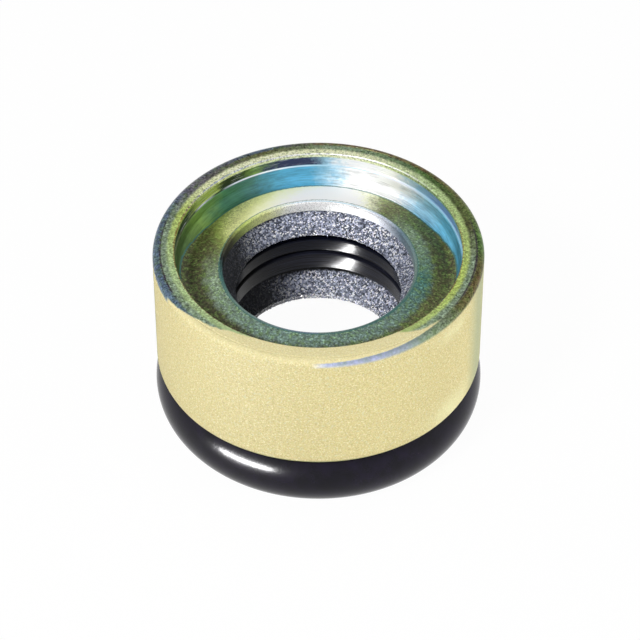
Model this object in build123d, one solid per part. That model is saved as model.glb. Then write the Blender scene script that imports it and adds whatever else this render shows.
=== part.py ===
from build123d import *
from math import sqrt
import os

# Double-lip shaft seal in a crimped steel case, in millimetres. The shaft runs along Z, the dished
# air side is up, and the seal stands at Z = 0 on the rubber foot ring of its pressure side.

# Shaft that runs in the seal, and how much smaller each free lip is
shaft_radius = 7.94
main_lip_interference = 0.17
air_lip_interference = 0.12

# Outer case, drawn in one piece with a shoulder and a neck, then rolled in over the stack
case_sheet = 0.5
case_bend = 0.3
rim_bend = 0.1
rim_width = 2.05
case_edge_round = 0.15
neck_lift = 1.85

# Fine ring that the rolling tool leaves on the rim, near its rounded corner
tool_mark_inset = 0.7
tool_mark_radius = 0.08
tool_mark_depth = 0.04

# Rubber foot ring round the neck, an oval of four arcs
ring_height = 5.6
ring_width = 3.7
ring_proud = 0.2
ring_squeeze = 0.03
ring_end_radius = 1.35

# Rubber gasket sleeve between the case and the clamped stack
gasket_wall = 0.9
gasket_corner_play = 0.05

# Front retainer, a dished washer with its hole edge turned down and coined to a tight corner
hole_play = 1.07
retainer_sheet = 0.5
retainer_bend = 0.03
dish_depth = 2.7
step_depth = 0.98
step_width = 0.22
wall_taper = 0.43
floor_bend = 1.05
floor_rise = 0.9
hole_edge_round = 0.22
collar_drop = 0.73
sheet_edge_round = 0.1

# Air-side lip, moulded with its clamping flange
clamp_width = 4.1
air_flange = 0.9
air_lip_drop = 2.38
air_land = 0.1
air_toe = 0.2
collar_play = 0.49

# Spacer rings above and below the dividing washer
spacer_play = 0.34
upper_web = 1.4
lower_web = 1.83
lower_relief = 0.72
lip_play = 0.79
step_play = 0.4
spacer_edge = 0.12
divider_sheet = 0.47
divider_play = 0.81

# Main lip, with its short cylindrical land
main_flange = 1.0
main_lip_drop = 2.34
main_land = 0.5
main_toe = 0.75
main_wall = 0.6
lip_root_round = 0.4
lip_edge_round = 0.06
toe_round = 0.25

# Clamp washer on the shoulder of the case
washer_thickness = 0.9
washer_play = 0.2
washer_edge = 0.2

# Radii that follow, from the shaft outwards
spacer_bore = shaft_radius + spacer_play
hole_radius = shaft_radius + hole_play
lip_root = hole_radius + retainer_sheet + collar_play
spacer_step = lip_root + step_play
main_outer_root = lip_root + main_wall
stack_radius = lip_root + clamp_width
case_inner = stack_radius + gasket_wall
case_radius = case_inner + case_sheet
rim_inner = case_radius - rim_width
neck_radius = case_radius + ring_proud - ring_width

# Floor of the retainer, which rises towards the hole; its thickness is taken along Z
floor_corner = stack_radius - retainer_sheet / 2 - step_width - wall_taper
hole_middle = hole_radius + retainer_sheet / 2
floor_slope = floor_rise / (floor_corner - hole_middle)
floor_thickness = retainer_sheet * sqrt(1 + floor_slope**2)

# Heights of the stack, from the shoulder up
shoulder_top = ring_height + case_sheet
main_flange_low = shoulder_top + washer_thickness
main_flange_top = main_flange_low + main_flange
divider_low = main_flange_top + lower_relief + lower_web
divider_top = divider_low + divider_sheet
upper_web_top = divider_top + upper_web
air_edge = upper_web_top + lip_play
air_root_top = air_edge + air_toe + air_land + air_lip_drop
air_rim_top = air_root_top - clamp_width * floor_slope
air_flange_low = air_rim_top - air_flange
floor_low = air_rim_top + (stack_radius - floor_corner) * floor_slope + floor_thickness
floor_high = floor_low + floor_rise
rim_under = floor_low + dish_depth
rim_top = rim_under + case_sheet


def region(low_radius, high_radius, low_height, high_height):
    """Rectangle of the half section, between two radii and two heights."""
    middle = ((low_radius + high_radius) / 2, (low_height + high_height) / 2)
    return Pos(*middle) * Rectangle(high_radius - low_radius, high_height - low_height)


def spun(section):
    """Solid of revolution of a half section, whose first axis is the radius."""
    return revolve(Plane.XZ * section, Axis.Z)


def sheet_section(route, bend, sheet):
    """Half section of bent sheet, with an inside bend radius per corner; its round ends are cut later."""
    middle = FilletPolyline(*route, radius=[inside + sheet / 2 for inside in bend])
    return make_face(offset(middle, amount=sheet / 2))


def moulded_section(corners):
    """Half section with a rounding at each corner, given as radius, height and rounding."""
    points = [(radius, height) for radius, height, rounding in corners]
    roundings = [rounding for radius, height, rounding in corners]
    return make_face(FilletPolyline(*points, radius=roundings, close=True))


def outer_case():
    """Rim, side wall, shoulder and neck, all in one run of sheet."""
    half = case_sheet / 2
    wall = case_radius - half
    neck = neck_radius - half
    shoulder = ring_height + half
    route = [
        (rim_inner - case_sheet, rim_top - half),
        (wall, rim_top - half),
        (wall, shoulder),
        (neck, shoulder),
        (neck, neck_lift - case_sheet),
    ]
    section = sheet_section(route, [rim_bend, case_bend, case_bend], case_sheet)
    section -= region(0, rim_inner, rim_under - half, rim_top + half)
    section -= region(0, neck_radius + half, neck_lift - 2 * case_sheet, neck_lift)
    rim_edge = section.vertices().filter_by(lambda corner: corner.Y > rim_under - half).group_by(Axis.X)[0]
    neck_edge = section.vertices().group_by(Axis.Y)[0]
    section = fillet(rim_edge + neck_edge, case_edge_round)
    mark_height = rim_top + tool_mark_radius - tool_mark_depth
    section -= Pos(case_radius - tool_mark_inset, mark_height) * Circle(tool_mark_radius)
    return spun(section)


def foot_ring():
    """Oval rubber ring with small flats where the neck, the shoulder and the floor press it."""
    outer = case_radius + ring_proud
    half_width = (outer - neck_radius + ring_squeeze) / 2
    half_height = ring_height / 2 + ring_squeeze
    end_centre = half_height - ring_end_radius
    side_radius = half_width**2 + end_centre**2 - ring_end_radius**2
    side_radius /= 2 * (half_width - ring_end_radius)
    side_centre = side_radius - half_width
    join = ring_end_radius / (side_radius - ring_end_radius)
    join_x = side_centre * join
    join_y = end_centre * (1 + join)
    corners = [(join_x, join_y), (join_x, -join_y), (-join_x, -join_y), (-join_x, join_y)]
    tips = [(half_width, 0), (0, -half_height), (-half_width, 0), (0, half_height)]
    arcs = [ThreePointArc(corners[n], tips[n], corners[(n + 1) % 4]) for n in range(4)]
    oval = Pos(outer - half_width, ring_height / 2) * make_face(arcs)
    return spun(oval & region(neck_radius, outer + ring_squeeze, 0, ring_height))


def gasket_sleeve():
    """Sleeve from the shoulder to the rim, with corners that clear the bends of the case."""
    corner = case_bend + gasket_corner_play
    corners = [
        (stack_radius, shoulder_top, 0),
        (case_inner, shoulder_top, corner),
        (case_inner, rim_under, corner),
        (stack_radius, rim_under, 0),
    ]
    return spun(moulded_section(corners))


def front_retainer():
    """Dished washer: straight wall, step, tapered wall, rising floor and turned-down hole edge."""
    half = retainer_sheet / 2
    wall = stack_radius - half
    collar_end = floor_high - collar_drop
    step_top = rim_under - step_depth
    floor_middle = floor_high - floor_thickness / 2
    route_end = hole_radius - retainer_sheet
    route = [
        (wall, rim_under + retainer_sheet),
        (wall, step_top),
        (wall - step_width, step_top - step_width),
        (floor_corner, floor_low - floor_thickness / 2),
        (route_end, floor_middle + (hole_middle - route_end) * floor_slope),
    ]
    section = sheet_section(route, [retainer_bend, retainer_bend, floor_bend], retainer_sheet)
    section -= region(0, stack_radius + half, rim_under, rim_under + 2 * retainer_sheet)
    section -= region(0, hole_radius, collar_end, rim_under)
    section += region(hole_radius, hole_radius + retainer_sheet, collar_end, floor_middle)
    hole_edge = section.vertices().group_by(Axis.X)[0].sort_by(Axis.Y)
    section = fillet(hole_edge[-1], hole_edge_round)
    collar_edge = section.vertices().group_by(Axis.X)[0].sort_by(Axis.Y)[:1]
    wall_edge = section.vertices().group_by(Axis.Y)[-1]
    section = fillet(collar_edge + wall_edge, sheet_edge_round)
    return spun(section)


def air_lip():
    """Dust lip: a flange that fits the retainer's floor and a thin cone towards the pressure side."""
    edge = shaft_radius - air_lip_interference
    edge_top = air_root_top - air_lip_drop
    corners = [
        (stack_radius, air_rim_top, 0),
        (lip_root, air_root_top, lip_root_round),
        (edge, edge_top, lip_edge_round),
        (edge, edge_top - air_land, lip_edge_round),
        (edge + air_toe, air_edge, lip_edge_round),
        (lip_root, air_flange_low, lip_root_round),
        (stack_radius, air_flange_low, 0),
    ]
    return spun(moulded_section(corners))


def upper_spacer():
    """Ring with a polished web at the bore and a step that leaves room for the air-side lip."""
    corners = [
        (spacer_bore, divider_top, spacer_edge),
        (stack_radius, divider_top, 0),
        (stack_radius, air_flange_low, 0),
        (spacer_step, air_flange_low, spacer_edge),
        (spacer_step, upper_web_top, lip_root_round),
        (spacer_bore, upper_web_top, spacer_edge),
    ]
    return spun(moulded_section(corners))


def dividing_washer():
    """Thin washer with a wider bore, which leaves the dark groove between the two spacers."""
    return spun(region(shaft_radius + divider_play, stack_radius, divider_low, divider_top))


def lower_spacer():
    """Ring that backs the main lip, relieved below so that the lip's root can flex."""
    web_low = divider_low - lower_web
    corners = [
        (spacer_bore, divider_low, spacer_edge),
        (spacer_bore, web_low, spacer_edge),
        (spacer_step, web_low, spacer_edge),
        (spacer_step, main_flange_top, spacer_edge),
        (stack_radius, main_flange_top, 0),
        (stack_radius, divider_low, 0),
    ]
    return spun(moulded_section(corners))


def main_lip():
    """Pressure lip: a clamped flange, a thick cone and a short land that grips the shaft."""
    land = shaft_radius - main_lip_interference
    land_top = main_flange_top - main_lip_drop
    toe = land_top - main_land
    corners = [
        (stack_radius, main_flange_top, 0),
        (lip_root, main_flange_top, lip_root_round),
        (land, land_top, lip_edge_round),
        (land, toe, lip_edge_round),
        (land + main_toe, toe, toe_round),
        (main_outer_root, main_flange_low, lip_root_round),
        (stack_radius, main_flange_low, 0),
    ]
    return spun(moulded_section(corners))


def clamp_washer():
    """Steel washer that carries the stack on the shoulder and clears the root of the main lip."""
    bore = main_outer_root + washer_play
    corners = [
        (bore, shoulder_top, washer_edge),
        (stack_radius, shoulder_top, 0),
        (stack_radius, main_flange_low, 0),
        (bore, main_flange_low, washer_edge),
    ]
    return spun(moulded_section(corners))


pieces = {
    "outer_case": outer_case(),
    "front_retainer": front_retainer(),
    "air_lip": air_lip(),
    "upper_spacer": upper_spacer(),
    "dividing_washer": dividing_washer(),
    "lower_spacer": lower_spacer(),
    "main_lip": main_lip(),
    "clamp_washer": clamp_washer(),
    "gasket_sleeve": gasket_sleeve(),
    "foot_ring": foot_ring(),
}

os.makedirs("parts", exist_ok=True)
for name, piece in pieces.items():
    export_step(piece, f"parts/{name}.step")
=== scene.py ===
import bpy
import bmesh
from math import atan2, cos, degrees, pi, radians, sin, sqrt, tan
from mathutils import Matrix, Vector


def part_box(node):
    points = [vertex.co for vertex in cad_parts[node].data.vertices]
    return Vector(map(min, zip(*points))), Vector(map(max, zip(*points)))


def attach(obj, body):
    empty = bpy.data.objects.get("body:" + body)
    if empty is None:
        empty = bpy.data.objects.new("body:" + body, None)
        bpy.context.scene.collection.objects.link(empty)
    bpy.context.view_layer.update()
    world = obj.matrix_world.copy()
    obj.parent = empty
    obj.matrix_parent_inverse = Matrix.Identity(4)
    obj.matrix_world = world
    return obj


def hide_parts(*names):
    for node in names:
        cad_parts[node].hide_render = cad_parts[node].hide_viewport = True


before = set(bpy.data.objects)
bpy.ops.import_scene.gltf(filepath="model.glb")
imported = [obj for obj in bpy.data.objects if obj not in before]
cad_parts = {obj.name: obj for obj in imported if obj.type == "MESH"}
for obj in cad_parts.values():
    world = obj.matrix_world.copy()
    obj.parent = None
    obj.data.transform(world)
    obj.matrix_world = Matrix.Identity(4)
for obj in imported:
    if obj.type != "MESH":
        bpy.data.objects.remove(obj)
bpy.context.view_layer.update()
mm = 0.001


# Camera
# The seal is seen from about 42 degrees above, through a long lens about nine case
# diameters away. The middle of its rim lies above the middle of the picture.
rim_centre = Vector((0, 0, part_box("outer_case")[1].z))
camera_height = radians(42.0)
camera_distance = 279.3 * mm
lens = 168.35 * mm
film = 36 * mm
rim_offset_right = -0.14 * mm
rim_offset_up = 6.81 * mm

towards_camera = Vector((0, -cos(camera_height), sin(camera_height)))
camera_up = Vector((0, sin(camera_height), cos(camera_height)))
aim = rim_centre - Vector((1, 0, 0)) * rim_offset_right - camera_up * rim_offset_up
camera = bpy.data.objects.new("camera", bpy.data.cameras.new("camera"))
bpy.context.scene.collection.objects.link(camera)
camera.location = rim_centre + towards_camera * camera_distance
camera.rotation_euler = (aim - camera.location).to_track_quat("-Z", "Y").to_euler()
camera.data.lens = lens / mm
camera.data.sensor_width = film / mm
camera.data.clip_start = camera_distance / 20
camera.data.clip_end = camera_distance * 100
bpy.context.scene.camera = camera
bpy.context.scene.view_settings.view_transform = "Standard"


# Outer case
# Steel cup, drawn in one piece and zinc plated. It is slipped over the stack of rings
# inside, and its top edge is then rolled in over them, which makes the flat rim.
def tint(red, green, blue):
    """A colour as seen on screen, from 0 to 255, in the linear values that shaders take."""
    channels = [c / 255 for c in (red, green, blue)]
    return [c / 12.92 if c <= 0.04045 else ((c + 0.055) / 1.055) ** 2.4 for c in channels] + [1]


def give(tree, socket, value):
    """Links the input to another socket or sets it to a plain value; None leaves it as it is."""
    if isinstance(value, bpy.types.NodeSocket):
        tree.links.new(value, socket)
    elif value is not None:
        socket.default_value = value


def add_node(tree, kind, *values, named={}, **settings):
    """A node with its settings, and with its inputs given in order or by name."""
    node = tree.nodes.new(kind)
    for key, value in settings.items():
        setattr(node, key, value)
    for socket, value in zip([s for s in node.inputs if s.enabled], values):
        give(tree, socket, value)
    for name, value in named.items():
        give(tree, node.inputs[name], value)
    return node


class Finish:
    """A material in the making. Each method adds one step and gives its output."""

    def __init__(self, name, roughness=0.5, metallic=0.0):
        self.material = bpy.data.materials.new(name)
        self.material.use_nodes = True
        self.tree = self.material.node_tree
        self.shader = self.tree.nodes["Principled BSDF"]
        self.set(roughness=roughness, metallic=metallic)
        place = self.tree.nodes.new("ShaderNodeTexCoord").outputs["Object"]
        self.place = self.add(
            "ShaderNodeVectorMath", place, named={"Scale": 1 / mm}, operation="SCALE"
        )
        self.x, self.y, self.height = add_node(
            self.tree, "ShaderNodeSeparateXYZ", self.place
        ).outputs
        squares = [self.math("MULTIPLY", way, way) for way in (self.x, self.y)]
        self.radius = self.math("SQRT", self.math("ADD", *squares))
        self.turn = self.math("MULTIPLY", self.math("ARCTAN2", self.x, self.y), degrees(1))

    def add(self, kind, *values, output=0, **settings):
        return add_node(self.tree, kind, *values, **settings).outputs[output]

    def math(self, operation, *values):
        return self.add("ShaderNodeMath", *values, operation=operation)

    def between(self, value, low, high, start=0.0, end=1.0):
        """Goes smoothly from start to end while the value goes from low to high."""
        spans = (value, low, high, start, end)
        return self.add("ShaderNodeMapRange", *spans, interpolation_type="SMOOTHSTEP")

    def slope(self, value, low, high, start=0.0, end=1.0):
        """Goes evenly from start to end while the value goes from low to high."""
        return self.add("ShaderNodeMapRange", value, low, high, start, end)

    def times(self, first, second):
        return self.add("ShaderNodeVectorMath", first, second, operation="MULTIPLY")

    def shifted(self, value, noise, reach):
        """The value, moved up and down by a noise over a reach."""
        swing = self.math("MULTIPLY", self.math("SUBTRACT", noise, 0.5), reach)
        return self.math("ADD", value, swing)

    def band(self, value, low, high, soft):
        """1 between low and high, and 0 outside, with soft edges."""
        rising = self.between(value, low - soft, low + soft)
        falling = self.between(value, high - soft, high + soft)
        return self.math("SUBTRACT", rising, falling)

    def mix(self, share, first, second):
        node = add_node(self.tree, "ShaderNodeMix", data_type="RGBA")
        inputs = {socket.identifier: socket for socket in node.inputs}
        for name, value in (("Factor_Float", share), ("A_Color", first), ("B_Color", second)):
            give(self.tree, inputs[name], value)
        return next(s for s in node.outputs if s.identifier == "Result_Color")

    def noise(self, size, detail=2.0, roughness=0.5, output=0):
        """Noise with features of a size in millimetres."""
        values = {"Vector": self.place, "Scale": 1 / size, "Detail": detail, "Roughness": roughness}
        return self.add("ShaderNodeTexNoise", named=values, output=output)

    def cells(self, size):
        """A value from 0 to 1 that differs from grain to grain; the size is in millimetres."""
        values = {"Vector": self.place, "Scale": 1 / size}
        grains = add_node(self.tree, "ShaderNodeTexVoronoi", named=values)
        return self.add("ShaderNodeSeparateColor", grains.outputs["Color"])

    def swirl(self, size, round_size):
        """Noise drawn out round the axis, as the marks of spinning and drawing are."""
        run = self.math("MULTIPLY", self.turn, 1 / round_size)
        across = self.math("MULTIPLY", self.radius, 1 / size)
        down = self.math("MULTIPLY", self.height, 1 / size)
        place = self.add("ShaderNodeCombineXYZ", run, across, down)
        return self.add("ShaderNodeTexNoise", named={"Vector": place, "Scale": 1.0, "Detail": 3.0})

    def ramp(self, value, stops):
        """Goes through colours, or through plain levels, by their places from 0 to 1."""
        node = self.tree.nodes.new("ShaderNodeValToRGB")
        elements = node.color_ramp.elements
        while len(elements) < len(stops):
            elements.new(0.5)
        for element, (position, colour) in zip(elements, sorted(stops.items())):
            element.position = position
            element.color = colour if hasattr(colour, "__len__") else [colour] * 3 + [1]
        give(self.tree, node.inputs[0], value)
        return node.outputs[0]

    def around(self, turn, stops):
        """Colours round the axis, by degrees from the back: left is negative, the front is 180."""
        share = self.slope(turn, -180.0, 180.0)
        return self.ramp(share, {(angle + 180) / 360: colour for angle, colour in stops.items()})

    def bump(self, height, depth):
        """Relief of a depth in millimetres."""
        values = {"Distance": depth * mm, "Height": height}
        self.set(normal=self.add("ShaderNodeBump", named=values))

    def set(self, **values):
        """Sets inputs of the shader by their names, in lower case with underscores."""
        for name, value in values.items():
            socket = self.shader.inputs[name.replace("_", " ").title().replace("Ior", "IOR")]
            give(self.tree, socket, value)
        return self.material


def filleted(corners, steps=10):
    """Outline through corners given as radius, height and rounding, all in millimetres."""
    outline = []
    for n, (radius, height, rounding) in enumerate(corners):
        here = Vector((radius, height))
        if not rounding:
            outline.append(here)
            continue
        back = (Vector(corners[n - 1][:2]) - here).normalized()
        ahead = (Vector(corners[(n + 1) % len(corners)][:2]) - here).normalized()
        half = back.angle(ahead) / 2
        reach = rounding / tan(half)
        middle = here + (back + ahead).normalized() * (rounding / sin(half))
        start = here + back * reach - middle
        end = here + ahead * reach - middle
        sweep = atan2(start.x * end.y - start.y * end.x, start.dot(end))
        count = max(2, round(steps * abs(sweep) / (pi / 2)))
        for step in range(count + 1):
            c, s = cos(sweep * step / count), sin(sweep * step / count)
            arm = Vector((start.x * c - start.y * s, start.x * s + start.y * c))
            outline.append(middle + arm)
    return outline


def bent_sheet(route, bends, sheet):
    """Corners of the section of bent sheet, out along one side of its middle line and back.

    Each bend of the route has a pair of roundings, inside and outside.
    """
    points = [Vector(point) for point in route]
    sides = {1: [], -1: []}
    for n, point in enumerate(points):
        arms = [points[m + 1] - points[m] for m in (n - 1, n) if 0 <= m < len(points) - 1]
        normals = [Vector((-arm.y, arm.x)).normalized() for arm in arms]
        mitre = sum(normals, Vector((0, 0))).normalized()
        reach = sheet / 2 / mitre.dot(normals[0])
        turn = 0
        if len(arms) == 2:
            turn = 1 if arms[0].x * arms[1].y > arms[0].y * arms[1].x else -1
        for side in sides:
            rounding = 0
            if turn:
                inside, outside = bends[n - 1]
                rounding = inside if side == turn else outside
            sides[side].append((*(point + mitre * reach * side), rounding))
    return sides[1] + sides[-1][::-1]


def geometry_tree(name, inputs, output):
    """A tree with named inputs and one output of geometry, and the sockets of its group input."""
    tree = bpy.data.node_groups.new(name, "GeometryNodeTree")
    for socket, kind in inputs.items():
        tree.interface.new_socket(socket, in_out="INPUT", socket_type="NodeSocket" + kind)
    tree.interface.new_socket(output, in_out="OUTPUT", socket_type="NodeSocketGeometry")
    return tree, tree.nodes.new("NodeGroupInput").outputs


def turned_tree():
    """Sweeps an outline round the axis and smooths all but its sharp edges."""
    inputs = {
        "Outline": "Geometry", "Spine Radius": "Float", "Segments": "Int", "Sharp Angle": "Float",
        "Finish": "Material",
    }
    tree, given = geometry_tree("turned_ring", inputs, "Ring")
    profile = add_node(tree, "GeometryNodeMeshToCurve", named={"Mesh": given["Outline"]})
    circle = {"Resolution": given["Segments"], "Radius": given["Spine Radius"]}
    spine = add_node(tree, "GeometryNodeCurvePrimitiveCircle", named=circle)
    curves = {"Curve": spine.outputs["Curve"], "Profile Curve": profile.outputs["Curve"]}
    sweep = add_node(tree, "GeometryNodeCurveToMesh", named=curves).outputs["Mesh"]
    smooth = add_node(tree, "GeometryNodeSetShadeSmooth", named={"Geometry": sweep})
    angle = add_node(tree, "GeometryNodeInputMeshEdgeAngle").outputs["Unsigned Angle"]
    angles = {"A": angle, "B": given["Sharp Angle"]}
    is_soft = add_node(tree, "FunctionNodeCompare", named=angles, operation="LESS_THAN")
    edges = {"Geometry": smooth.outputs[0], "Shade Smooth": is_soft.outputs["Result"]}
    creased = add_node(tree, "GeometryNodeSetShadeSmooth", named=edges, domain="EDGE")
    realized = add_node(tree, "GeometryNodeRealizeInstances", creased.outputs[0])
    coat = {"Geometry": realized.outputs[0], "Material": given["Finish"]}
    finished = add_node(tree, "GeometryNodeSetMaterial", named=coat)
    add_node(tree, "NodeGroupOutput", named={"Ring": finished.outputs[0]})
    return tree


turned_ring = turned_tree()


def outline_piece(name, outline, spine):
    """The outline as a closed line of edges.

    The sweep carries the line's first axis outwards and its second one down.
    """
    mesh = bpy.data.meshes.new(name)
    points = [((point.x - spine) * mm, -point.y * mm, 0) for point in outline]
    edges = [(n, (n + 1) % len(points)) for n in range(len(points))]
    mesh.from_pydata(points, edges, [])
    piece = bpy.data.objects.new(name, mesh)
    bpy.context.scene.collection.objects.link(piece)
    return piece


def shaped(piece, tree, **values):
    """Adds a modifier with the tree and gives it its values by the names of its sockets."""
    modifier = piece.modifiers.new(tree.name, "NODES")
    modifier.node_group = tree
    for socket in tree.interface.items_tree:
        key = socket.name.lower().replace(" ", "_")
        if socket.in_out == "INPUT" and key in values:
            modifier[socket.identifier] = values[key]


def plain(piece):
    """Turns what the modifiers make into a plain mesh, with its faces pointing outwards."""
    evaluated = piece.evaluated_get(bpy.context.evaluated_depsgraph_get())
    mesh = bpy.data.meshes.new_from_object(evaluated)
    piece.modifiers.clear()
    piece.data = mesh
    mesh.name = piece.name
    shell = bmesh.new()
    shell.from_mesh(mesh)
    if shell.calc_volume(signed=True) < 0:
        bmesh.ops.reverse_faces(shell, faces=shell.faces)
        shell.to_mesh(mesh)
    shell.free()
    return piece


def turned(name, outline, material, segments=512, spine=12.0):
    """The outline turned round the axis and finished."""
    piece = outline_piece(name, outline, spine)
    shaped(
        piece, turned_ring, spine_radius=spine * mm, segments=segments, sharp_angle=radians(40),
        finish=material,
    )
    return plain(piece)


def seat(piece, node):
    """The piece stands for a node of the model, which it hides, and joins the root body."""
    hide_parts(node)
    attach(piece, "root")


def even_bend(inside, sheet):
    """Roundings of a bend that keeps the thickness of the sheet."""
    return inside, inside + sheet


def corners_of(node):
    """Lowest and highest corner of a node of the model, in millimetres."""
    return [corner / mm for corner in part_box(node)]


touching = 0.01
fine_segments = 720
case_low, case_high = corners_of("outer_case")
case_radius = case_high.x
rim_top = case_high.z
case_sheet = 0.5
case_bend = 0.3
rim_bend = 0.1
rim_width = 2.05
case_edge_round = 0.15
ring_high = corners_of("foot_ring")[1]
ring_outer = ring_high.x
ring_height = ring_high.z
ring_width = 3.7
rim_inner = case_radius - rim_width
neck_radius = ring_outer - ring_width
tool_mark_inset = 0.7
tool_mark_width = 0.14
tool_mark_depth = 0.04
tool_mark_steps = (-1.5, -1, -0.6, -0.3, 0, 0.3, 0.6, 0.95)

straw = tint(216, 202, 138)
straw_light = tint(244, 236, 190)
straw_dark = tint(188, 172, 110)
straw_cool = tint(206, 206, 168)
cream = tint(250, 252, 206)
white = tint(255, 255, 255)
yellow_green = tint(190, 208, 110)
leaf = tint(126, 160, 80)
moss = tint(86, 116, 62)
olive = tint(104, 104, 66)
dark_olive = tint(58, 56, 40)
brown = tint(104, 84, 58)
rust = tint(150, 110, 62)
plum = tint(62, 46, 64)
plum_grey = tint(112, 108, 118)
grey_green = tint(146, 164, 138)
light_green = tint(190, 212, 154)
blue_grey = tint(120, 144, 160)
slate = tint(88, 104, 126)
lavender = tint(176, 184, 214)

# Places of the films on the rim, in millimetres from the axis along the sheet
lip_film = (13.6, 13.52)
inner_to_flat = (13.95, 14.35)
flat_to_corner = (14.6, 15.0)
dark_line = (14.72, 14.88, 0.07)
dark_line_turn = (76.0, 118.0, 8.0)
dark_spots_run = (14.2, 14.5, 0.1)
dark_spots_turn = (48.0, 84.0, 6.0)

# Places of the straw-yellow coat: its edges on the near rim are degrees from the back
side_start = (15.9, 16.3)
left_coat_edge = (13.45, 15.6, 154.0, 117.0)
right_coat_edge = (13.45, 14.8, 150.0, 134.0)
outer_coat_edge = (134.0, 178.0, 14.9, 15.62)
# Painted light: the coat is made paler on the rim top, which faces up and takes less light than the
# side
lit_rim_top = (16.1, 15.3, 0.0, 0.3)
# Painted highlights: two cream patches on the right of the side
lower_highlight_turn = (119.0, 134.0, 10.0)
lower_highlight_height = (5.6, 8.2, 1.6)
upper_highlight_turn = (124.0, 133.0, 8.0)
upper_highlight_height = (16.5, 17.6, 1.0)
# Painted shade on the right of the side, and a painted sheen along both sides
side_shade_turn = (97.0, 112.0, 7.0)
silhouette_sheen_turn = (88.0, 97.0, 5.0)
green_underside = (6.2, 5.9)


def rim_film(finish, turn, run, fine):
    """Films of the bare rim: green, grey and brown rings whose colours change round the rim. The
    white on its inner edge at the back is a painted highlight.
    """
    corner = finish.around(
        turn,
        {-180: lavender, -140: blue_grey, -100: slate, -70: slate, -50: plum_grey, -20: slate,
         0: brown, 45: brown, 62: olive, 88: moss, 106: brown, 122: olive, 138: grey_green,
         160: lavender, 180: lavender},
    )
    flat = finish.around(
        turn,
        {-180: blue_grey, -125: grey_green, -80: grey_green, -55: plum_grey, -20: olive,
         10: grey_green, 45: moss, 80: olive, 100: grey_green, 140: grey_green, 180: blue_grey},
    )
    inner = finish.around(
        turn,
        {-180: light_green, -100: light_green, -70: yellow_green, -42: cream, 14: cream,
         50: light_green, 110: yellow_green, 180: light_green},
    )
    # The white on the inner edge at the back is a painted highlight.
    lip = finish.around(
        turn,
        {-180: rust, -75: rust, -45: lavender, -10: white, 30: white, 60: light_green, 90: rust},
    )
    spots = finish.ramp(finish.cells(0.2), {0.0: 0.35, 0.2: 0.75, 0.5: 1.0, 0.8: 1.15, 1.0: 1.6})
    ragged = finish.shifted(run, finish.noise(0.3, 3.0, 0.7), 0.5)
    film = finish.mix(finish.between(ragged, *inner_to_flat), inner, finish.times(flat, spots))
    sideways = finish.math("ABSOLUTE", turn)
    calm = finish.between(sideways, 126.0, 146.0, 0.0, 0.8)
    spotted_corner = finish.mix(calm, finish.times(corner, spots), corner)
    film = finish.mix(finish.between(ragged, *flat_to_corner), film, spotted_corner)
    deep = finish.band(sideways, *dark_line_turn)
    film = finish.mix(finish.math("MULTIPLY", finish.band(run, *dark_line), deep), film, plum)
    dark_spots = finish.math(
        "MULTIPLY", finish.band(run, *dark_spots_run), finish.band(turn, *dark_spots_turn)
    )
    dark_spots = finish.math("MULTIPLY", dark_spots, finish.between(fine, 0.48, 0.6))
    film = finish.mix(dark_spots, film, dark_olive)
    film = finish.mix(finish.between(run, *lip_film), film, lip)
    film = finish.mix(finish.between(finish.noise(0.5, 2.0), 0.4, 0.75, 0.0, 0.3), film, leaf)
    specks = finish.ramp(fine, {0.3: 0.45, 0.5: 1.0, 0.7: 1.6})
    return finish.mix(calm, finish.times(film, specks), film)


def yellow_coat(finish, turn, run):
    """Straw yellow with a fine grain. Painted light makes it paler on the rim top, painted
    highlights make two cream patches on the right, painted shade makes a grey-green strip on the
    right, and a painted sheen makes it greener at both sides; it is greener on the underside too.
    """
    grain = finish.noise(0.15, 2.0, 0.8)
    coat = finish.ramp(grain, {0.32: straw_dark, 0.47: straw, 0.55: straw, 0.68: straw_light})
    cool = finish.between(finish.noise(0.3, 2.0), 0.55, 0.75, 0.0, 0.5)
    coat = finish.mix(cool, coat, straw_cool)
    coat = finish.mix(0.12, coat, finish.noise(0.12, 1.0, output=1))
    # The two cream patches on the right are painted highlights.
    patches = [
        finish.math("MULTIPLY", finish.band(turn, *sideways), finish.band(finish.height, *height))
        for sideways, height in (
            (lower_highlight_turn, lower_highlight_height), (upper_highlight_turn, upper_highlight_height)
        )
    ]
    pale = finish.math("MULTIPLY", finish.math("MAXIMUM", *patches), 0.45)
    coat = finish.mix(pale, coat, cream)
    # Painted light: the rim top is made paler so that it is as bright as the side.
    coat = finish.mix(finish.between(run, *lit_rim_top), coat, straw_light)
    # Painted shade: a grey-green strip darkens the right of the side. A painted sheen of moss green
    # lies along both sides where they turn away from the front.
    side_shade = finish.math("MULTIPLY", finish.band(finish.turn, *side_shade_turn), 0.6)
    coat = finish.mix(side_shade, coat, grey_green)
    silhouette_sheen = finish.band(finish.math("ABSOLUTE", finish.turn), *silhouette_sheen_turn)
    underside = finish.between(finish.height, *green_underside)
    green = finish.math("MULTIPLY", finish.math("MAXIMUM", silhouette_sheen, underside), 0.6)
    return finish.mix(green, coat, moss)


def coat_cover(finish, turn, run):
    """1 where the yellow coat is whole: on the side and over the near part of the rim."""
    side = finish.between(run, *side_start)
    front = finish.math("ABSOLUTE", turn)
    left, right = (
        finish.between(finish.math("SUBTRACT", front, finish.slope(run, *edge)), -2.0, 2.0)
        for edge in (left_coat_edge, right_coat_edge)
    )
    past = finish.math("SUBTRACT", run, finish.slope(front, *outer_coat_edge))
    right = finish.math("MULTIPLY", right, finish.between(past, 0.06, -0.06))
    near = finish.slope(finish.between(finish.x, 1.0, -1.0), 0.0, 1.0, right, left)
    return finish.math("MAXIMUM", side, near)


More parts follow.
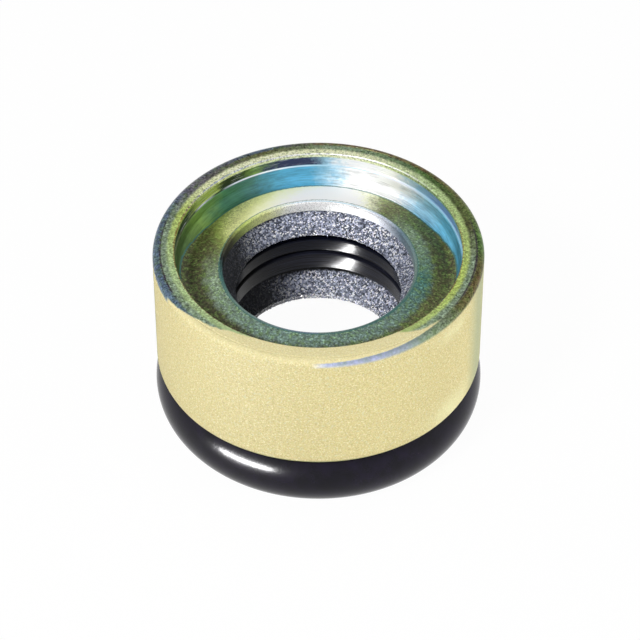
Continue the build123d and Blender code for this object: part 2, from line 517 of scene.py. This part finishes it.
def case_finish():
    """Straw-yellow plating, which thins over the rim to green, grey and brown films."""
    finish = Finish("case_plating")
    turn = finish.shifted(finish.turn, finish.noise(2.6, 3.0), 16.0)
    fine = finish.noise(0.2, 2.0, 0.7)
    along = finish.math("ADD", finish.radius, finish.math("SUBTRACT", rim_top, finish.height))
    run = finish.shifted(along, fine, 0.2)
    cover = coat_cover(finish, turn, run)
    finish.bump(finish.swirl(0.05, 9.0), 0.008)
    return finish.set(
        base_color=finish.mix(
            cover, rim_film(finish, turn, run, fine), yellow_coat(finish, turn, run)
        ),
        metallic=finish.slope(cover, 0.0, 1.0, 0.8, 0.0),
        roughness=finish.slope(cover, 0.0, 1.0, 0.36, 0.65),
        specular_ior_level=0.1,
    )


half = case_sheet / 2
shoulder = ring_height + half
case_route = [
    (rim_inner, rim_top - half),
    (case_radius - half, rim_top - half),
    (case_radius - half, shoulder),
    (neck_radius - half, shoulder),
    (neck_radius - half, case_low.z),
]
case_bends = [even_bend(inside, case_sheet) for inside in (rim_bend, case_bend, case_bend)]


def round_cuts(corners, is_cut, edge_round):
    """Gives the corners where the sheet was cut a rounding of their own."""
    return [(r, z, edge_round if is_cut(r, z) else rounding) for r, z, rounding in corners]


def cut_at_rim_or_neck(r, z):
    at_rim = r < rim_inner + touching and z > rim_top - case_sheet - touching
    return at_rim or z < case_low.z + touching


def marked_rim(outline):
    """Presses in the fine ring that the rolling tool leaves on the flat of the rim."""
    mark = case_radius - tool_mark_inset
    pressed = []
    for here, ahead in zip(outline, outline[1:] + outline[:1]):
        pressed.append(here)
        if min(here.y, ahead.y) > rim_top - 1e-6:
            for step in tool_mark_steps:
                place = mark + step * tool_mark_width / 2
                depth = tool_mark_depth * max(0, 1 - step * step)
                pressed.append(Vector((place, rim_top - depth)))
    return pressed


case_corners = bent_sheet(case_route, case_bends, case_sheet)
case_corners = round_cuts(case_corners, cut_at_rim_or_neck, case_edge_round)
case_outline = marked_rim(filleted(case_corners))
outer_case = turned("cup_with_rolled_rim", case_outline, case_finish(), fine_segments)
seat(outer_case, "outer_case")


# Gasket sleeve
# Matt rubber sleeve between the case and the clamped stack. It is pressed in with the
# stack and shows nowhere once the rim is rolled.
def gasket_finish():
    finish = Finish("gasket_rubber", roughness=0.7)
    colour = finish.ramp(finish.noise(0.6, 4.0), {0.35: tint(22, 22, 24), 0.65: tint(40, 40, 42)})
    finish.bump(finish.noise(0.12, 3.0), 0.01)
    return finish.set(base_color=colour)


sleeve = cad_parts["gasket_sleeve"]
sleeve.data.materials.clear()
sleeve.data.materials.append(gasket_finish())


# Clamp washer
# Flat steel washer with broken edges. It lies on the shoulder of the case and carries
# the flange of the main lip.
def washer_finish(name, dark, light):
    finish = Finish(name, roughness=0.36, metallic=0.9)
    marks = finish.swirl(0.04, 14.0)
    colour = finish.ramp(marks, {0.3: dark, 0.7: light})
    finish.bump(marks, 0.008)
    return finish.set(base_color=colour)


def flat_ring(bore, low, high, edge=0):
    """Section of a washer from its bore out to the wall of the stack."""
    return filleted(
        [(bore, low, edge), (stack_radius, low, 0), (stack_radius, high, 0), (bore, high, edge)]
    )


clamp_low, clamp_high = corners_of("clamp_washer")
stack_radius = clamp_high.x
washer_bore = 10.8
washer_edge = 0.2
washer_steel = washer_finish("washer_steel", tint(70, 70, 74), tint(104, 104, 108))
clamp_outline = flat_ring(washer_bore, clamp_low.z, clamp_high.z, washer_edge)
clamp_washer = turned("clamp_ring", clamp_outline, washer_steel)
seat(clamp_washer, "clamp_washer")


# Main lip
# Moulded rubber with a sparkling mineral filler: a clamped flange, a thick cone that
# narrows towards the pressure side and a short land that grips the shaft.
lip_root = 10.0
grained_radius = 9.4
speck_size = 0.13
lip_spine = 9.0
lip_segments = 560
cone_row = 0.1
relief_height = 0.06
relief_size = 0.14
grain_radius = 0.075
grains_per_square_metre = 2.0e7


def painted_side_shade(finish, colour):
    """Painted shade: darkens the cone, most on its left, and on the lower lip further round towards
    the back.
    """
    upper = finish.between(finish.height, 8.5, 9.5, -24.0, 0.0)
    side = finish.shifted(finish.math("ADD", finish.turn, upper), finish.noise(0.6), 14.0)
    share = finish.around(
        side,
        {-180: 0.7, -130: 0.4, -95: 0.06, -62: 0.08, -38: 0.7, -15: 1.0, 35: 1.0, 55: 0.75,
         100: 0.6, 180: 0.7},
    )
    return finish.times(colour, share)


def lip_finish():
    """Black rubber, full of bright and dark specks on the cone and plain on the flange."""
    finish = Finish("lip_rubber", roughness=0.5)
    specks = finish.ramp(
        finish.cells(speck_size),
        {0.0: tint(34, 37, 48), 0.3: tint(92, 97, 114), 0.6: tint(148, 154, 176),
         0.8: tint(200, 206, 230), 0.9: tint(255, 255, 255)},
    )
    black = finish.ramp(finish.noise(0.1, 2.0), {0.3: tint(8, 8, 10), 0.7: tint(26, 27, 28)})
    radius = finish.shifted(finish.radius, finish.noise(0.2), 0.2)
    root = finish.between(radius, grained_radius - 0.1, grained_radius + 0.1)
    finish.bump(finish.noise(0.09, 2.0, 0.7), 0.02)
    # The specks are darkened by painted shade, most on the left.
    colour = finish.mix(root, painted_side_shade(finish, specks), black)
    return finish.set(base_color=colour, specular_ior_level=0.3)


def grain_finish():
    """Mineral grains from dark to white, by a shade that each one has of its own."""
    finish = Finish("lip_grains", roughness=0.3, metallic=0.5)
    shade = add_node(finish.tree, "ShaderNodeAttribute", attribute_name="shade").outputs["Fac"]
    colour = finish.ramp(
        shade,
        {0.0: tint(30, 33, 44), 0.3: tint(92, 98, 120), 0.55: tint(170, 176, 210),
         0.7: tint(240, 242, 252), 0.8: tint(255, 255, 255)},
    )
    # The grains take the same painted shade.
    return finish.set(base_color=painted_side_shade(finish, colour))


def grain_tree():
    """Roughens the cone of a moulded lip and scatters mineral grains over it."""
    inputs = {
        "Lip": "Geometry", "Cone Radius": "Float", "Relief": "Float", "Relief Scale": "Float",
        "Grain Radius": "Float", "Grains Per Square Metre": "Float", "Seed": "Int",
        "Finish": "Material",
    }
    tree, given = geometry_tree("mineral_grains", inputs, "Grained Lip")

    def add(kind, *values, output=0, **settings):
        return add_node(tree, kind, *values, **settings).outputs[output]

    def random(kind, **limits):
        values = {**{name.title(): limit for name, limit in limits.items()}, "Seed": given["Seed"]}
        node = add_node(tree, "FunctionNodeRandomValue", named=values, data_type=kind)
        return next(socket for socket in node.outputs if socket.enabled)

    place = add("GeometryNodeInputPosition")
    level = add("ShaderNodeVectorMath", place, (1, 1, 0), operation="MULTIPLY")
    radius = add("ShaderNodeVectorMath", level, operation="LENGTH", output="Value")
    inside = add("FunctionNodeCompare", radius, given["Cone Radius"], operation="LESS_THAN")
    normal = add("GeometryNodeInputNormal")
    rise = add("ShaderNodeSeparateXYZ", normal, output="Z")
    faces_up = add("FunctionNodeCompare", rise, -0.1, operation="GREATER_THAN")
    on_cone = add("FunctionNodeBooleanMath", inside, faces_up, operation="AND")

    relief = add("ShaderNodeTexNoise", named={"Scale": given["Relief Scale"], "Detail": 1.0})
    lift = add("ShaderNodeMath", relief, 0.5, operation="SUBTRACT")
    lift = add("ShaderNodeMath", lift, given["Relief"], operation="MULTIPLY")
    push = add("ShaderNodeVectorMath", normal, named={"Scale": lift}, operation="SCALE")
    moved = {"Geometry": given["Lip"], "Selection": on_cone, "Offset": push}
    rough = add("GeometryNodeSetPosition", named=moved)

    spread = {
        "Mesh": rough, "Selection": on_cone, "Density": given["Grains Per Square Metre"],
        "Seed": given["Seed"],
    }
    points = add("GeometryNodeDistributePointsOnFaces", named=spread, output="Points")
    ball = {"Radius": given["Grain Radius"], "Subdivisions": 1}
    grain = add("GeometryNodeMeshIcoSphere", named=ball, output="Mesh")
    cut = add("GeometryNodeSetShadeSmooth", named={"Geometry": grain, "Shade Smooth": False})
    spin = random("FLOAT_VECTOR", max=grain_spin)
    stretch = random("FLOAT_VECTOR", min=grain_stretch[0], max=grain_stretch[1])
    scattered = {"Points": points, "Instance": cut, "Rotation": spin, "Scale": stretch}
    grains = add("GeometryNodeInstanceOnPoints", named=scattered)
    shade = {"Geometry": grains, "Name": "shade", "Value": random("FLOAT")}
    shaded = add(
        "GeometryNodeStoreNamedAttribute", named=shade, data_type="FLOAT", domain="INSTANCE"
    )
    coat = {"Geometry": add("GeometryNodeRealizeInstances", shaded), "Material": given["Finish"]}
    finished = add("GeometryNodeSetMaterial", named=coat)
    together = add_node(tree, "GeometryNodeJoinGeometry")
    for part in (finished, rough):
        tree.links.new(part, together.inputs[0])
    add_node(tree, "NodeGroupOutput", named={"Grained Lip": together.outputs[0]})
    return tree


grain_spin = (6.28, 6.28, 6.28)
grain_stretch = ((0.5, 0.5, 0.35), (1.5, 1.1, 0.8))
mineral_grains = grain_tree()
lip_rubber = lip_finish()
lip_grains = grain_finish()


def in_fine_rows(outline, high, spacing):
    """Divides the outline's inward runs below a radius, so that the relief has rows to move."""
    rows = []
    for here, ahead in zip(outline, outline[1:] + outline[:1]):
        rows.append(here)
        run = ahead - here
        count = int(run.length / spacing)
        if here.x < high and run.x < 0.01 and count > 1:
            rows += [here + run * step / count for step in range(1, count)]
    return rows


def moulded_lip(name, corners, seed):
    """A lip, turned from its section, with the relief and the grains of its filler."""
    outline = in_fine_rows(filleted(corners, steps=5), lip_root, cone_row)
    piece = outline_piece(name, outline, lip_spine)
    shaped(
        piece, turned_ring, spine_radius=lip_spine * mm, segments=lip_segments,
        sharp_angle=radians(60), finish=lip_rubber,
    )
    shaped(
        piece, mineral_grains, cone_radius=grained_radius * mm, relief=relief_height * mm,
        relief_scale=1 / (relief_size * mm), grain_radius=grain_radius * mm,
        grains_per_square_metre=grains_per_square_metre, seed=seed, finish=lip_grains,
    )
    return plain(piece)


main_low, main_high = corners_of("main_lip")
main_land_radius = 7.77
main_flange = 1.0
main_land = 0.5
main_toe = 0.75
main_wall = 0.6
main_seed = 11
lip_edge_round = 0.06
lip_root_round = 0.4
toe_round = 0.25
main_corners = [
    (stack_radius, main_high.z, 0),
    (lip_root, main_high.z, lip_root_round),
    (main_land_radius, main_low.z + main_land, lip_edge_round),
    (main_land_radius, main_low.z, lip_edge_round),
    (main_land_radius + main_toe, main_low.z, toe_round),
    (lip_root + main_wall, main_high.z - main_flange, lip_root_round),
    (stack_radius, main_high.z - main_flange, 0),
]
main_lip = moulded_lip("pressure_lip", main_corners, main_seed)
seat(main_lip, "main_lip")


# Lower spacer
# Polished black ring that backs the main lip. Its web is relieved below, so that the
# root of the lip can flex, and its bore shows as the lower of the two glossy bands.
def polished_finish(name, dark, light, left):
    """Black polish with marks round the band, and a painted shade on its left, darker and warmer.
    """
    finish = Finish(name, roughness=0.16)
    marks = finish.swirl(0.05, 30.0)
    # Painted shade: the left of the band takes the darker, warmer colour.
    stops = {-180: light, -85: left, -55: left, -30: light, 180: light}
    tone = finish.around(finish.turn, stops)
    finish.bump(marks, 0.003)
    colour = finish.mix(finish.between(marks, 0.3, 0.75), dark, tone)
    return finish.set(base_color=colour, specular_ior_level=0.1)


spacer_bore = 8.28
spacer_step = 10.4
spacer_edge = 0.12
lower_relief = 0.72
lower_low, lower_high = corners_of("lower_spacer")
lower_corners = [
    (spacer_bore, lower_high.z, spacer_edge),
    (spacer_bore, lower_low.z + lower_relief, spacer_edge),
    (spacer_step, lower_low.z + lower_relief, spacer_edge),
    (spacer_step, lower_low.z, spacer_edge),
    (stack_radius, lower_low.z, 0),
    (stack_radius, lower_high.z, 0),
]
lower_black = polished_finish(
    "lower_band_black", tint(14, 14, 20), tint(44, 46, 60), tint(40, 40, 34)
)
lower_spacer = turned("lower_band", filleted(lower_corners), lower_black)
seat(lower_spacer, "lower_spacer")


# Dividing washer
# Thin steel washer with a wider bore, laid between the two spacers. Only the dark
# groove that it leaves between the two bands is seen.
divider_low, divider_high = corners_of("dividing_washer")
divider_bore = 8.75
groove_steel = washer_finish("groove_steel", tint(24, 24, 28), tint(48, 48, 54))
divider_outline = flat_ring(divider_bore, divider_low.z, divider_high.z)
dividing_washer = turned("groove_washer", divider_outline, groove_steel)
seat(dividing_washer, "dividing_washer")


# Upper spacer
# The second polished ring, with a step above its web that leaves room for the air-side
# lip. Its bore shows as the upper glossy band.
upper_low, upper_high = corners_of("upper_spacer")
upper_web = 1.4
upper_corners = [
    (spacer_bore, upper_low.z, spacer_edge),
    (stack_radius, upper_low.z, 0),
    (stack_radius, upper_high.z, 0),
    (spacer_step, upper_high.z, spacer_edge),
    (spacer_step, upper_low.z + upper_web, lip_root_round),
    (spacer_bore, upper_low.z + upper_web, spacer_edge),
]
upper_black = polished_finish("upper_band_black", tint(6, 7, 14), tint(24, 28, 46), tint(8, 12, 8))
upper_spacer = turned("upper_band", filleted(upper_corners), upper_black)
seat(upper_spacer, "upper_spacer")


# Air-side lip
# The dust lip, moulded from the same speckled rubber. Its flange fits the sloping floor
# of the retainer, and its thin cone narrows to a fine edge.
air_edge = corners_of("air_lip")[0].z
air_edge_radius = 7.82
air_flange = 0.9
air_lip_drop = 2.38
air_land = 0.1
air_toe = 0.2
air_seed = 23
floor_rise = 0.9
hole_radius = 9.01
retainer_sheet = 0.5
step_width = 0.22
wall_taper = 0.43
floor_corner = stack_radius - retainer_sheet / 2 - step_width - wall_taper
floor_slope = floor_rise / (floor_corner - hole_radius - retainer_sheet / 2)
air_root_top = air_edge + air_toe + air_land + air_lip_drop
air_rim_top = air_root_top - (stack_radius - lip_root) * floor_slope
air_corners = [
    (stack_radius, air_rim_top, 0),
    (lip_root, air_root_top, lip_root_round),
    (air_edge_radius, air_edge + air_toe + air_land, lip_edge_round),
    (air_edge_radius, air_edge + air_toe, lip_edge_round),
    (air_edge_radius + air_toe, air_edge, lip_edge_round),
    (lip_root, air_rim_top - air_flange, lip_root_round),
    (stack_radius, air_rim_top - air_flange, 0),
]
air_lip = moulded_lip("dust_lip", air_corners, air_seed)
seat(air_lip, "air_lip")


# Front retainer
# Dished washer of thin steel with a step in its wall, a sloping floor and a hole whose
# edge is turned down. The clear zinc film on it shines green, straw and blue.
moss_dark = tint(44, 60, 34)
leaf_teal = tint(70, 122, 90)
teal = tint(70, 118, 112)
teal_grey = tint(126, 150, 140)
cyan = tint(84, 166, 202)
light_cyan = tint(112, 190, 222)
sky = tint(160, 206, 228)
pale_blue = tint(132, 166, 208)
navy = tint(30, 40, 80)
mist = tint(226, 230, 242)
olive_brown = tint(82, 80, 54)
black_green = tint(22, 28, 24)
pale_straw = tint(228, 232, 160)

# Places of the films, in millimetres from the axis and in degrees from the back
inner_to_outer = (10.2, 11.2)
# Edges of the pale fan, a painted highlight on the floor
fan_left = (9.4, 12.1, -54.0, -28.0)
fan_right = (9.4, 12.1, 31.0, 22.0)
bowl_rise = 0.85
bowl_start = (12.05, 12.2)
bowl_line = (12.08, 12.2, 0.05)
wall_start = (13.5, 13.58)
step_line = (13.45, 13.53, 0.03)
hole_start = (9.4, 9.25)
hole_line = (9.32, 9.4, 0.04)
# Place of the glint, a painted highlight on the hole edge
glint_ring = (9.13, 9.2, 0.05)
glint_turn = (-20.0, 40.0, 25.0)


def wall_film(finish, turn):
    """Upper wall: dark green and blue with fine level lines. The white sweep at the back right is
    partly film and partly a painted highlight, and the dark lines fade where it is.
    """
    # The white from 12 to 34 degrees is partly a painted highlight.
    film = finish.around(
        turn,
        {-180: teal, -110: olive, -88: moss_dark, -65: moss_dark, -57: yellow_green,
         -49: yellow_green, -43: moss_dark, -35: moss_dark, -27: leaf, -18: navy, -4: navy,
         5: sky, 12: white, 34: white, 42: sky, 56: pale_blue, 70: pale_blue, 84: sky, 106: teal,
         180: teal},
    )
    lines = finish.swirl(0.1, 10.0)
    film = finish.mix(finish.between(lines, 0.58, 0.68, 0.0, 0.6), film, mist)
    depth = finish.between(turn, 0.0, 20.0, 0.5, 0.2)
    dark_lines = finish.math("MULTIPLY", finish.between(lines, 0.44, 0.36), depth)
    return finish.mix(dark_lines, film, navy)


def bowl_film(finish, turn):
    """Tapered wall, between the step and the floor. Its white sweep at the back right is partly
    film and partly a painted highlight.
    """
    film = finish.around(
        turn,
        {-180: teal, -110: moss, -94: moss, -74: moss, -60: leaf, -44: leaf_teal, -28: teal,
         -14: cyan, -4: cyan, 5: sky, 12: white, 36: white, 48: sky, 64: light_cyan, 92: cyan,
         125: teal, 180: teal},
    )
    lines = finish.ramp(finish.swirl(0.14, 6.0), {0.3: 0.72, 0.5: 1.0, 0.7: 1.25})
    return finish.times(film, lines)


def floor_film(finish, turn, radius):
    """Mottled olive and grey-green floor, whose colours round the axis are partly film and partly
    painted reflection, with a pale fan at the back that is a painted highlight over the film.

    Gives the colour and where the fan is.
    """
    outer = finish.around(
        turn,
        {-180: olive_brown, -140: olive_brown, -95: olive_brown, -60: olive, 60: olive,
         90: olive_brown, 120: olive, 180: olive_brown},
    )
    inner = finish.around(
        turn,
        {-180: teal_grey, -150: teal_grey, -100: grey_green, -75: olive, 40: olive,
         65: grey_green, 100: teal, 140: teal_grey, 180: teal_grey},
    )
    depth = finish.shifted(radius, finish.noise(0.8, 3.0), 1.4)
    film = finish.mix(finish.between(depth, *inner_to_outer), inner, outer)
    mottle = finish.noise(0.22, 3.0, 0.8)
    spots = finish.ramp(mottle, {0.32: 0.45, 0.45: 0.85, 0.56: 1.1, 0.7: 1.7})
    grains = finish.ramp(finish.cells(0.15), {0.0: 0.6, 0.3: 0.85, 0.7: 1.1, 0.9: 1.35, 1.0: 1.9})
    film = finish.mix(finish.between(finish.noise(0.4, 2.0), 0.4, 0.7, 0.0, 0.5), film, leaf)
    film = finish.times(finish.times(film, spots), grains)

    ragged = finish.shifted(turn, finish.noise(0.3, 3.0, 0.7), 16.0)
    into_left = finish.math("SUBTRACT", ragged, finish.slope(radius, *fan_left))
    into_right = finish.math("SUBTRACT", finish.slope(radius, *fan_right), ragged)
    halo = finish.math(
        "MULTIPLY", finish.between(into_left, -34.0, -6.0), finish.between(into_right, -9.0, 2.0)
    )
    straw_green = finish.mix(finish.between(into_left, -24.0, -6.0), yellow_green, pale_straw)
    film = finish.mix(halo, film, finish.times(straw_green, spots))
    # The fan is a painted highlight: pale straw, cream and white.
    fan = finish.math(
        "MULTIPLY", finish.between(into_left, -12.0, 13.0), finish.between(into_right, -10.0, 9.0)
    )
    inside = finish.mix(finish.between(into_left, 2.0, 18.0), pale_straw, cream)
    inside = finish.mix(finish.between(into_left, 10.0, 38.0), inside, white)
    return finish.mix(fan, film, inside), fan


def hole_film(finish, turn):
    """Turned-down edge of the hole. The white at the back is a painted highlight."""
    film = finish.around(
        turn,
        {-180: blue_grey, -130: teal_grey, -100: teal, -84: black_green, -66: olive,
         -50: yellow_green, -34: pale_straw, -14: white, 30: white, 44: mist, 60: blue_grey,
         90: teal_grey, 135: teal, 180: teal_grey},
    )
    fine = finish.ramp(finish.noise(0.12, 3.0, 0.8), {0.34: 0.4, 0.46: 0.85, 0.6: 1.15})
    return finish.times(film, fine)


def step_film(finish, turn):
    """The narrow step between the two walls. Its white and misty lines at the back are painted
    highlights.
    """
    return finish.around(
        turn,
        {-180: teal, -95: olive, -60: moss_dark, -54: mist, -50: moss_dark, -44: moss_dark,
         -38: mist, -20: white, 0: sky, 36: mist, 50: sky, 84: sky, 98: teal, 180: teal},
    )


def retainer_finish():
    """Clear zinc plating, whose films follow the floor, the walls, the step and the hole. The pale
    fan, the white sweeps, the lines on the step, the white of the hole edge and the glint at the
    back are painted highlights.
    """
    finish = Finish("retainer_plating", roughness=0.34)
    wander = finish.shifted(finish.turn, finish.noise(2.2, 3.0), 14.0)
    turn = finish.shifted(wander, finish.noise(0.35, 3.0, 0.7), 9.0)
    radius = finish.shifted(finish.radius, finish.noise(0.22, 3.0, 0.7), 0.22)
    sideways = finish.math("ABSOLUTE", wander)
    at_sides = finish.math(
        "SUBTRACT", finish.between(sideways, 50.0, 90.0), finish.between(sideways, 98.0, 116.0)
    )
    foot = finish.math("SUBTRACT", radius, finish.math("MULTIPLY", at_sides, bowl_rise))
    floor, fan = floor_film(finish, wander, radius)
    colour = finish.mix(finish.between(foot, *bowl_start), floor, bowl_film(finish, turn))
    colour = finish.mix(finish.band(foot, *bowl_line), colour, teal)
    at_wall = finish.between(finish.radius, *wall_start)
    colour = finish.mix(at_wall, colour, wall_film(finish, turn))
    at_step = finish.band(finish.radius, *step_line)
    colour = finish.mix(at_step, colour, step_film(finish, wander))
    colour = finish.mix(finish.between(radius, *hole_start), colour, hole_film(finish, turn))
    colour = finish.mix(finish.band(radius, *hole_line), colour, teal)
    # Painted highlight: a sky-blue glint on the hole edge at the back.
    glint = finish.math(
        "MULTIPLY", finish.band(finish.radius, *glint_ring), finish.band(turn, *glint_turn)
    )
    colour = finish.mix(glint, colour, sky)
    finish.bump(finish.swirl(0.06, 12.0), 0.012)
    # The painted highlight of the fan is made less metallic, so that it shows white.
    return finish.set(base_color=colour, metallic=finish.slope(fan, 0.0, 1.0, 0.6, 0.0))


retainer_low, retainer_high = corners_of("front_retainer")
rim_under = retainer_high.z
retainer_bend = 0.03
dish_depth = 2.7
step_depth = 0.98
floor_bend = 1.05
hole_edge_round = 0.22
sheet_edge_round = 0.1
half = retainer_sheet / 2
wall = stack_radius - half
step_top = rim_under - step_depth
floor_thickness = retainer_sheet * sqrt(1 + floor_slope**2)
floor_low = rim_under - dish_depth - floor_thickness / 2
retainer_route = [
    (wall, rim_under),
    (wall, step_top),
    (wall - step_width, step_top - step_width),
    (floor_corner, floor_low),
    (hole_radius + half, floor_low + floor_rise),
    (hole_radius + half, retainer_low.z),
]
retainer_bends = [
    even_bend(inside, retainer_sheet) for inside in (retainer_bend, retainer_bend, floor_bend)
]
retainer_bends.append((0, hole_edge_round))


def cut_at_rim_or_hole(r, z):
    return min(abs(z - retainer_low.z), abs(z - rim_under)) < touching


retainer_corners = bent_sheet(retainer_route, retainer_bends, retainer_sheet)
retainer_corners = round_cuts(retainer_corners, cut_at_rim_or_hole, sheet_edge_round)
retainer_outline = filleted(retainer_corners, steps=14)
front_retainer = turned("dished_washer", retainer_outline, retainer_finish(), fine_segments)
seat(front_retainer, "front_retainer")


# Foot ring
# Moulded oval ring of glossy black rubber, stretched over the neck of the case, where
# it bears on the shoulder. The seal stands on it.
def ring_finish():
    finish = Finish("ring_rubber", roughness=0.22)
    colour = finish.ramp(finish.noise(1.5, 4.0), {0.35: tint(10, 8, 18), 0.65: tint(20, 15, 32)})
    finish.bump(finish.noise(0.5, 3.0), 0.006)
    return finish.set(base_color=colour, specular_ior_level=0.2)


ring_squeeze = 0.03
ring_end_radius = 1.35
ring_points = 120
ring_segments = 640


def oval_outline():
    """Oval of four arcs, with small flats where the neck, the shoulder and the floor press it."""
    half_width = (ring_width + ring_squeeze) / 2
    half_height = ring_height / 2 + ring_squeeze
    end_centre = half_height - ring_end_radius
    side_radius = half_width**2 + end_centre**2 - ring_end_radius**2
    side_radius /= 2 * (half_width - ring_end_radius)
    side_centre = half_width - side_radius
    join = atan2(end_centre, -side_centre)
    middle = ring_outer - half_width
    outline = []
    for n in range(ring_points):
        angle = 2 * pi * n / ring_points
        slant = abs(atan2(sin(angle), abs(cos(angle))))
        sign_x = 1 if cos(angle) >= 0 else -1
        sign_y = 1 if sin(angle) >= 0 else -1
        if slant < join:
            x = side_centre + side_radius * cos(slant)
            y = side_radius * sin(slant)
        else:
            x = ring_end_radius * cos(slant)
            y = end_centre + ring_end_radius * sin(slant)
        radius = max(neck_radius, middle + sign_x * x)
        height = min(ring_height, max(0, ring_height / 2 + sign_y * y))
        outline.append(Vector((radius, height)))
    return outline


foot_ring = turned("oval_foot_ring", oval_outline(), ring_finish(), ring_segments)
seat(foot_ring, "foot_ring")


# Floor and light
# A white floor, a pale surround and five lamps that the camera doesn't see. Two wide
# lamps give plain light, and two windows and a small lamp in the bore give only gloss.
floor_reach = 3.0
paper_tone = (0.86, 0.86, 0.86, 1)
paper_glow = 0.97
sky_strength = 0.6
dome_low = (0.1, (1, 1, 1, 1))
dome_high = (0.9, (0.45, 0.46, 0.5, 1))


def white_to_the_eye(tree):
    """1 for rays from the camera, from gloss and through glass, 0 for scattered light."""
    path = tree.nodes.new("ShaderNodeLightPath")
    share = path.outputs["Is Camera Ray"]
    for name in ("Is Glossy Ray", "Is Transmission Ray"):
        larger = add_node(tree, "ShaderNodeMath", share, path.outputs[name], operation="MAXIMUM")
        share = larger.outputs[0]
    return share


def floor_finish():
    """White paper that keeps a soft shadow. Seen from below it lets the view through."""
    material = bpy.data.materials.new("floor_paper")
    material.use_nodes = True
    tree = material.node_tree
    tree.nodes.clear()

    def add(kind, *values, **settings):
        return add_node(tree, kind, *values, **settings).outputs[0]

    share = add("ShaderNodeMath", white_to_the_eye(tree), paper_glow, operation="MULTIPLY")
    paper = add("ShaderNodeBsdfDiffuse", paper_tone)
    lit = add("ShaderNodeMixShader", share, paper, add("ShaderNodeEmission", (1, 1, 1, 1)))
    below = add_node(tree, "ShaderNodeNewGeometry").outputs["Backfacing"]
    both = add("ShaderNodeMixShader", below, lit, add("ShaderNodeBsdfTransparent"))
    add_node(tree, "ShaderNodeOutputMaterial", both)
    return material


ends = (-floor_reach, floor_reach)
floor_corners = [(ends[0], ends[0], 0), (ends[1], ends[0], 0), (ends[1], ends[1], 0),
                 (ends[0], ends[1], 0)]
floor_mesh = bpy.data.meshes.new("floor")
floor_mesh.from_pydata(floor_corners, [], [(0, 1, 2, 3)])
floor_mesh.materials.append(floor_finish())
floor = bpy.data.objects.new("floor", floor_mesh)
bpy.context.scene.collection.objects.link(floor)

world = bpy.data.worlds.new("studio")
world.use_nodes = True
bpy.context.scene.world = world
sky_tree = world.node_tree
sky_tree.nodes.clear()
direction = sky_tree.nodes.new("ShaderNodeTexCoord").outputs["Generated"]
rise = add_node(sky_tree, "ShaderNodeSeparateXYZ", direction).outputs["Z"]
dome = add_node(sky_tree, "ShaderNodeValToRGB", rise)
for element, (place, colour) in zip(dome.color_ramp.elements, (dome_low, dome_high)):
    element.position = place
    element.color = colour
shown = add_node(sky_tree, "ShaderNodeBackground", dome.outputs[0])
scattered = add_node(sky_tree, "ShaderNodeBackground", named={"Strength": sky_strength})
either = add_node(
    sky_tree, "ShaderNodeMixShader", white_to_the_eye(sky_tree), scattered.outputs[0],
    shown.outputs[0],
)
add_node(sky_tree, "ShaderNodeOutputWorld", either.outputs[0])
seal_middle = Vector((0, 0, rim_centre.z / 2))


def lamp(name, place, size, radiance, towards=seal_middle, gloss=True, scatter=True):
    """A flat lamp, in metres, that the camera doesn't see, turned towards a point."""
    data = bpy.data.lights.new(name, "AREA")
    data.shape = "RECTANGLE"
    data.size, data.size_y = size
    data.energy = radiance * size[0] * size[1] * pi
    piece = bpy.data.objects.new(name, data)
    bpy.context.scene.collection.objects.link(piece)
    piece.location = place
    piece.rotation_euler = (place - towards).to_track_quat("Z", "Y").to_euler()
    piece.visible_camera = False
    piece.visible_glossy = gloss
    piece.visible_diffuse = scatter
    return piece


def round_the_seal(turn, height, distance=0.3):
    """A place by degrees from the camera's side, left being negative, and above the floor."""
    level = cos(radians(height))
    way = Vector((sin(radians(turn)) * level, -cos(radians(turn)) * level, sin(radians(height))))
    return way * distance + seal_middle


lamp("key_lamp", round_the_seal(-40, 45), (0.055, 0.055), 60, gloss=False)
lamp("fill_lamp", round_the_seal(75, 4), (0.16, 0.1), 11, gloss=False)
lamp("window_lamp", round_the_seal(-41, -6, 0.06), (0.032, 0.007), 200, scatter=False)
lamp("high_window_lamp", round_the_seal(-44, 61), (0.06, 0.08), 30, scatter=False)

bore_spot = Vector((-4.6, -1.0, 0.3)) * mm
bore_lamp_turn = atan2(2.7, 3.4)
straight_up = bore_spot + Vector((0, 0, 1))
bore_lamp = lamp("bore_lamp", bore_spot, (0.0084, 0.0015), 200, straight_up, scatter=False)
bore_lamp.rotation_euler.z += bore_lamp_turn
